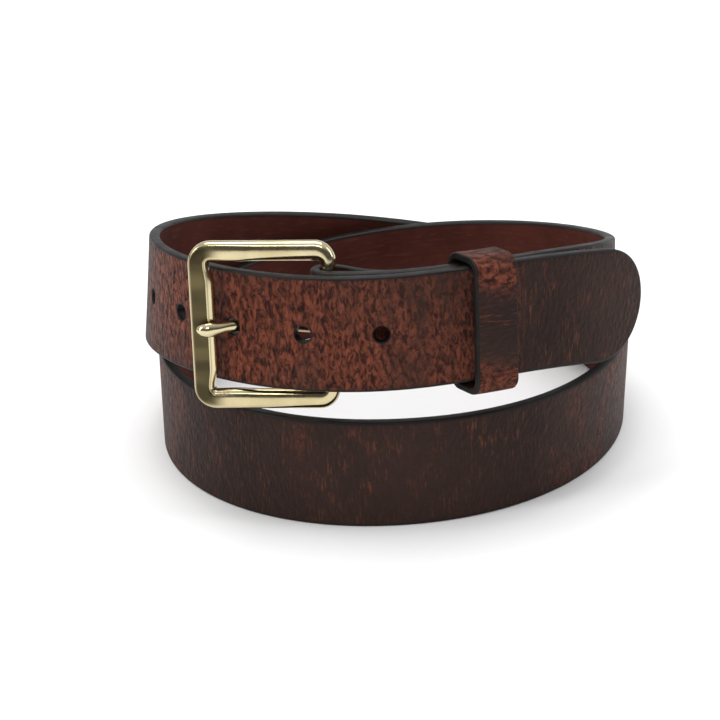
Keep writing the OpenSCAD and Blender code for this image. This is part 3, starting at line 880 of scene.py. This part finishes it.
# share of the front bar's section at the front end of a side, and its haste round the corner
SIDE_SHARE, CORNER_HASTE = 0.25, 1.3
# the satin face of the front bar, rougher and painted dark as a painted reflection, in millimetres:
# from what height, over what rise, and how near the front bar
SATIN_PAINTED_DARK_FROM, SATIN_PAINTED_DARK_RISE, SATIN_PAINTED_DARK_BACK, SATIN_PAINTED_DARK_RUN = 1.9, 0.3, 8, 6
RING_STEP = 0.6 * MM


def full(value):
    """Squares off a sine or cosine, for a section fuller than an ellipse."""
    return math.copysign(abs(value) ** FULLNESS, value)


def bar_section(front, pivot, inner):
    """The bar's section, a mix of the side's with shares of the front's and of the round pivot's."""
    points = []
    for w, z in FRONT_SECTION:
        turn = math.atan2(z / FRONT_HALF_T, (w + SECTION_OFF) / SECTION_HALF_W)
        c, s = math.cos(turn), math.sin(turn)
        side = Vector((SIDE_HALF_W * full(c), SIDE_HALF_T * full(s)))
        round_bar = Vector((ROUND_R * c, ROUND_R * s))
        flat_bar = Vector((w if w > 0 else w * inner / INNER_REACH, z))
        point = side.lerp(round_bar, pivot).lerp(flat_bar, front)
        points.append(point * MM)
    return points


def frame_path():
    """Stations round the frame: place, outward way, front share, pivot share, inward reach."""
    half_y = SIDE_Y - BEND_MID
    stations = []

    def straight(start, end, way, front, pivot, count):
        for k in range(count):
            share = k / count
            off_corner = min(share, 1 - share) * (end - start).length / MM
            inner = CORNER_REACH + (INNER_REACH - CORNER_REACH) * ease(off_corner / REACH_RUN)
            stations.append((start.lerp(end, share), way, front(share), pivot(share), inner))

    def corner(centre, turn, front, pivot):
        for k in range(CORNER_STEPS):
            share = k / CORNER_STEPS
            swing = turn - math.pi / 2 * share
            way = Vector((math.cos(swing), math.sin(swing)))
            place = centre + way * BEND_MID
            stations.append((place, way, front(share), pivot(share), CORNER_REACH))

    def none(share):
        return 0.0

    def whole(share):
        return 1.0

    def nearing(share):
        return SIDE_SHARE * ease(share * 2 - 1)

    def turning(share):
        return SIDE_SHARE + (1 - SIDE_SHARE) * ease(share * CORNER_HASTE)

    def backwards(change):
        return lambda share: change(1 - share)

    near, far = BEND_MID, BAR_D - BEND_MID
    up, down = Vector((0.0, 1.0)), Vector((0.0, -1.0))
    ahead, behind = Vector((1.0, 0.0)), Vector((-1.0, 0.0))
    straight(Vector((near, SIDE_Y)), Vector((far, SIDE_Y)), up, nearing, none, SIDE_STEPS)
    corner(Vector((far, half_y)), math.pi / 2, turning, none)
    straight(Vector((BAR_D, half_y)), Vector((BAR_D, -half_y)), ahead, whole, none, FRONT_STEPS)
    corner(Vector((far, -half_y)), 0.0, backwards(turning), none)
    straight(Vector((far, -SIDE_Y)), Vector((near, -SIDE_Y)), down, backwards(nearing), none,
             SIDE_STEPS)
    corner(Vector((near, -half_y)), -math.pi / 2, none, ease)
    straight(Vector((0.0, -half_y)), Vector((0.0, half_y)), behind, none, whole, PIVOT_STEPS)
    corner(Vector((near, half_y)), math.pi, none, backwards(ease))
    return stations


def rolled_tube(bm, rings, lie_layer):
    """Rolls a grid into a tube through rings of equally many points; its map stays flat."""
    last, ring_size = len(rings) - 1, len(rings[0])
    made = bmesh.ops.create_grid(bm, x_segments=last, y_segments=ring_size, size=1.0)["verts"]
    spots = {v: (round((v.co.x + 1) / 2 * last), round((v.co.y + 1) / 2 * ring_size)) for v in made}
    for f in bm.faces:
        for loop in f.loops:
            column, row = spots[loop.vert]
            loop[lie_layer].uv = (column / last * len(rings) * MM, row * RING_STEP)
    for v, (column, row) in spots.items():
        v.co = rings[column][row % ring_size]
    bmesh.ops.remove_doubles(bm, verts=bm.verts, dist=TOUCHING)


def make_frame(material):
    bm = bmesh.new()
    lie = bm.loops.layers.uv.new("lie")
    satin_and_painted_dark = bm.verts.layers.float.new("satin_and_painted_dark")
    rings = []
    for spot, way, front, pivot, inner in frame_path():
        ring = [Vector((spot.x + way.x * p.x, spot.y + way.y * p.x, p.y))
                for p in bar_section(front, pivot, inner)]
        rings.append(ring)
    rings.append(rings[0])
    rolled_tube(bm, rings, lie)
    for v in bm.verts:
        # the satin face: rougher, and painted dark as a painted reflection
        on_face = ease((v.co.z / MM - SATIN_PAINTED_DARK_FROM) / SATIN_PAINTED_DARK_RISE)
        toward_front = ease((v.co.x / MM - (BAR_D / MM - SATIN_PAINTED_DARK_BACK)) / SATIN_PAINTED_DARK_RUN)
        v[satin_and_painted_dark] = on_face * toward_front
        v.co = FRAME_PLACE @ v.co
    bmesh.ops.recalc_face_normals(bm, faces=bm.faces)
    piece = finish_piece(bm, "cast_frame", [material])
    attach(piece, "buckle")
    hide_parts("buckle_frame")


# ---------------------------------------------------------------- the prong

# along the prong: distance from the pivot, height, half width and half thickness
PRONG_SHAPE = (
    (2.6, 0.0, 2.7, 1.45), (9.0, 0.0, 2.3, 1.45), (16.0, 0.1, 2.0, 1.45), (22.5, 0.4, 1.9, 1.45),
    (27.0, 1.4, 1.85, 1.5), (31.0, 3.9, 1.85, 1.6), (34.6, 7.2, 1.95, 1.5), (37.4, 9.45, 2.4, 1.5),
    (39.8, 9.85, 2.15, 1.4), (41.5, 9.75, 1.25, 0.95), (42.1, 9.65, 0.35, 0.3))
PRONG_STEPS, PRONG_RING = 60, 28
# the crest along the prong's tip: its height as a share, how wide it is, where it starts
RIDGE_HEIGHT, RIDGE_SIDE, RIDGE_FROM, RIDGE_RUN = 0.12, 0.75, 31, 4
# the prong may sit this far off the pivot bar's middle, toward the middle of its hole
PRONG_SLIDE = 0.8 * MM
hole_drop = (PIVOT_C - middle(PRONG_HOLE_A)).dot(PIVOT_Y)
PRONG_Y = max(-PRONG_SLIDE, min(PRONG_SLIDE, hole_drop))
EYE_WALL, EYE_HALF_H, EYE_FIT, EYE_SOFT = 1.8 * MM, 3.5 * MM, 0.08 * MM, 0.5 * MM
EYE_CORNER_STEPS, EYE_STEPS = 4, 48


def through(rows, u):
    """A smooth row of values through a table's rows."""
    k = min(int(u), len(rows) - 2)
    f = u - k
    a, b, c, d = (rows[min(max(k + j, 0), len(rows) - 1)] for j in (-1, 0, 1, 2))
    return [0.5 * (2 * q + (r - p) * f + (2 * p - 5 * q + 4 * r - s) * f * f
                   + (3 * q - p - 3 * r + s) * f ** 3) for p, q, r, s in zip(a, b, c, d)]


def make_prong(material):
    bm = bmesh.new()
    lie = bm.loops.layers.uv.new("lie")
    bm.verts.layers.float.new("satin_and_painted_dark")
    rings = []
    for k in range(PRONG_STEPS + 1):
        x, z, half_w, half_t = through(PRONG_SHAPE, k / PRONG_STEPS * (len(PRONG_SHAPE) - 1))
        ring = []
        for j in range(PRONG_RING):
            turn = 2 * math.pi * j / PRONG_RING
            up = math.cos(turn)
            on_top = ease((up - RIDGE_SIDE) / (1 - RIDGE_SIDE))
            crest = RIDGE_HEIGHT * on_top * ease((x - RIDGE_FROM) / RIDGE_RUN)
            ring.append(mm(x, half_w * math.sin(turn), z + half_t * (up + crest)))
        rings.append(ring)
    rolled_tube(bm, rings, lie)
    bmesh.ops.holes_fill(bm, edges=[e for e in bm.edges if e.is_boundary], sides=0)
    low, high = PIVOT_R + EYE_FIT + EYE_SOFT, PIVOT_R + EYE_FIT + EYE_WALL - EYE_SOFT
    end = EYE_HALF_H - EYE_SOFT
    rim = []
    for quarter, (cx, cy) in enumerate(((high, end), (low, end), (low, -end), (high, -end))):
        for step in range(EYE_CORNER_STEPS + 1):
            turn = math.pi / 2 * (quarter + step / EYE_CORNER_STEPS)
            rim.append(bm.verts.new((
                cx + EYE_SOFT * math.cos(turn), cy + EYE_SOFT * math.sin(turn), 0.0)))
    outline = [bm.edges.new((rim[k - 1], rim[k])) for k in range(len(rim))]
    bmesh.ops.spin(bm, geom=rim + outline, cent=(0, 0, 0), axis=(0, 1, 0), angle=2 * math.pi,
                   steps=EYE_STEPS, use_merge=True)
    bmesh.ops.remove_doubles(bm, verts=bm.verts, dist=TOUCHING)
    bmesh.ops.translate(bm, vec=(0.0, PRONG_Y, 0.0), verts=bm.verts)
    bmesh.ops.transform(bm, matrix=PIVOT_PLACE, verts=bm.verts)
    bmesh.ops.recalc_face_normals(bm, faces=bm.faces)
    piece = finish_piece(bm, "cast_prong", [material])
    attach(piece, "tongue")
    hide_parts("prong")


# ---------------------------------------------------------------- everything

place_camera()
light_the_studio()
lay_floor()

grain = pull_up_leather("pull_up_leather")
flesh = flesh_side("flesh_side")
edge = edge_paint("edge_paint")
make_strap([grain, flesh, edge])
make_keeper([grain, flesh, edge])

brass = cast_brass("cast_brass", CAST_TONE, CAST_GLOSS)
make_frame(brass)
make_prong(brass)
plain_brass = cast_brass("turned_brass", TURNED_TONE, TURNED_GLOSS)
nodes["barrel_posts"].material_slots[0].material = plain_brass
nodes["post_screws"].material_slots[0].material = plain_brass
nodes["keeper_staple"].material_slots[0].material = staple_wire("staple_wire")
